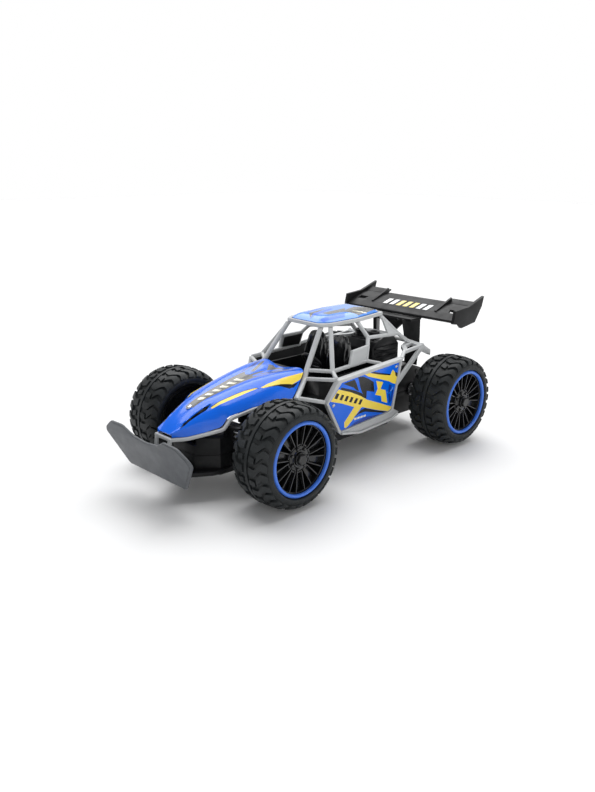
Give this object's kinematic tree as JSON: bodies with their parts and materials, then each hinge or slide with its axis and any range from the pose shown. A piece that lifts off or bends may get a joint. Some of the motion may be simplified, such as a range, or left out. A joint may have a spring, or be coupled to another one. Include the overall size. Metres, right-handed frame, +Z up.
{
  "type": "remote control car",
  "caption": "Off-road remote control buggy with a caged two-seat cockpit, long bonnet, rear wing, sprung steered front wheels and a geared rear axle.",
  "frame": {"origin": "on the ground, under the centre of the overall box", "axes": "+Z up, the nose points along -Y, the car's left side is +X"},
  "size_m": [0.172, 0.3292, 0.127],
  "materials": {
    "blue_body": "glossy saturated blue",
    "grey_frame": "satin light grey",
    "bumper_grey": "matt dark grey",
    "black_chassis": "satin black",
    "black_gloss": "glossy black",
    "tyre_rubber": "matt soft rubber",
    "ring_blue": "satin blue",
    "steel": "bright steel",
    "gear_nylon": "natural nylon",
    "board_green": "solder-mask green",
    "battery_wrap": "shrink-wrap blue"
  },
  "bodies": {
    "chassis": {"hood_shell": "blue_body", "roof_panel": "blue_body", "side_panel_left": "blue_body", "side_panel_right": "blue_body", "nose_frame": "grey_frame", "roof_frame": "grey_frame", "roll_cage_left": "grey_frame", "roll_cage_right": "grey_frame", "side_frame_left": "grey_frame", "side_frame_right": "grey_frame", "rear_cage_left": "grey_frame", "rear_cage_right": "grey_frame", "front_bumper": "bumper_grey", "chassis_tub": "black_chassis", "battery_door": "black_chassis", "front_bulkhead": "black_chassis", "steering_servo": "black_chassis", "gearbox_cover": "black_chassis", "cockpit_tub": "black_chassis", "steering_wheel": "black_chassis", "wing_stay": "black_chassis", "seat_left": "black_gloss", "seat_right": "black_gloss", "wing_blade": "black_gloss", "hood_screw": "steel", "battery_door_screw": "steel", "front_spring_left": "steel", "front_spring_right": "steel", "drive_motor": "steel", "axle_bush_left": "steel", "axle_bush_right": "steel", "circuit_board": "board_green", "battery_pack": "battery_wrap"},
    "arm_left": {"suspension_arm_left": "black_chassis"},
    "arm_right": {"suspension_arm_right": "black_chassis"},
    "knuckle_left": {"steering_knuckle_left": "black_chassis"},
    "knuckle_right": {"steering_knuckle_right": "black_chassis"},
    "wheel_front_left": {"tyre_front_left": "tyre_rubber", "rim_front_left": "black_gloss", "bead_ring_front_left": "ring_blue", "wheel_nut_front_left": "black_gloss"},
    "wheel_front_right": {"tyre_front_right": "tyre_rubber", "rim_front_right": "black_gloss", "bead_ring_front_right": "ring_blue", "wheel_nut_front_right": "black_gloss"},
    "rear_axle": {"rear_axle": "steel", "axle_gear": "gear_nylon", "tyre_rear_left": "tyre_rubber", "rim_rear_left": "black_gloss", "bead_ring_rear_left": "ring_blue", "wheel_nut_rear_left": "black_gloss", "tyre_rear_right": "tyre_rubber", "rim_rear_right": "black_gloss", "bead_ring_rear_right": "ring_blue", "wheel_nut_rear_right": "black_gloss"},
    "pinion": {"motor_pinion": "gear_nylon"},
    "steering_link": {"steering_link": "black_chassis"},
    "servo_horn": {"servo_horn": "gear_nylon"},
    "power_switch": {"power_switch": "black_chassis"}
  },
  "joints": [
    {"name": "suspension_left", "type": "hinge", "parent": "chassis", "child": "arm_left", "pos_m": [0.022, -0.0865, 0.029], "axis": [0, -1, 0], "range_deg": [0, 5], "stiffness_Nm_per_rad": 1.2, "springref_deg": -5, "deforming": ["front_spring_left"]},
    {"name": "suspension_right", "type": "hinge", "parent": "chassis", "child": "arm_right", "pos_m": [-0.022, -0.0865, 0.029], "axis": [0, 1, 0], "range_deg": [0, 5], "stiffness_Nm_per_rad": 1.2, "springref_deg": -5, "deforming": ["front_spring_right"]},
    {"name": "steer_left", "type": "hinge", "parent": "arm_left", "child": "knuckle_left", "pos_m": [0.045, -0.085, 0.04], "axis": [0, 0, 1], "range_deg": [-18, 18]},
    {"name": "steer_right", "type": "hinge", "parent": "arm_right", "child": "knuckle_right", "pos_m": [-0.045, -0.085, 0.04], "axis": [0, 0, 1], "range_deg": [-18.5, 18.5]},
    {"name": "steering_link_slide", "type": "slide", "parent": "chassis", "child": "steering_link", "axis": [1, 0, 0], "range_m": [-0.004, 0.004]},
    {"name": "servo_horn_turn", "type": "hinge", "parent": "chassis", "child": "servo_horn", "pos_m": [0, -0.0626, 0.04], "axis": [0, 0, 1], "range_deg": [-23, 23]},
    {"name": "spin_front_left", "type": "hinge", "parent": "knuckle_left", "child": "wheel_front_left", "pos_m": [0.0668, -0.085, 0.04], "axis": [1, 0, 0], "continuous": true},
    {"name": "spin_front_right", "type": "hinge", "parent": "knuckle_right", "child": "wheel_front_right", "pos_m": [-0.0668, -0.085, 0.04], "axis": [1, 0, 0], "continuous": true},
    {"name": "rear_axle_spin", "type": "hinge", "parent": "chassis", "child": "rear_axle", "pos_m": [0, 0.117, 0.04], "axis": [1, 0, 0], "continuous": true},
    {"name": "motor_spin", "type": "hinge", "parent": "chassis", "child": "pinion", "pos_m": [0.0087, 0.10089, 0.0493], "axis": [1, 0, 0], "continuous": true},
    {"name": "power_switch_slide", "type": "slide", "parent": "chassis", "child": "power_switch", "axis": [0, 1, 0], "range_m": [0, 0.006]}
  ],
  "couplings": [
    {"joint": "steer_right", "follows": "steer_left", "ratio": 1},
    {"joint": "steering_link_slide", "follows": "steer_left", "m_per_rad": -0.0124},
    {"joint": "servo_horn_turn", "follows": "steer_left", "ratio": -1.26},
    {"joint": "motor_spin", "follows": "rear_axle_spin", "ratio": -3.6}
  ]
}
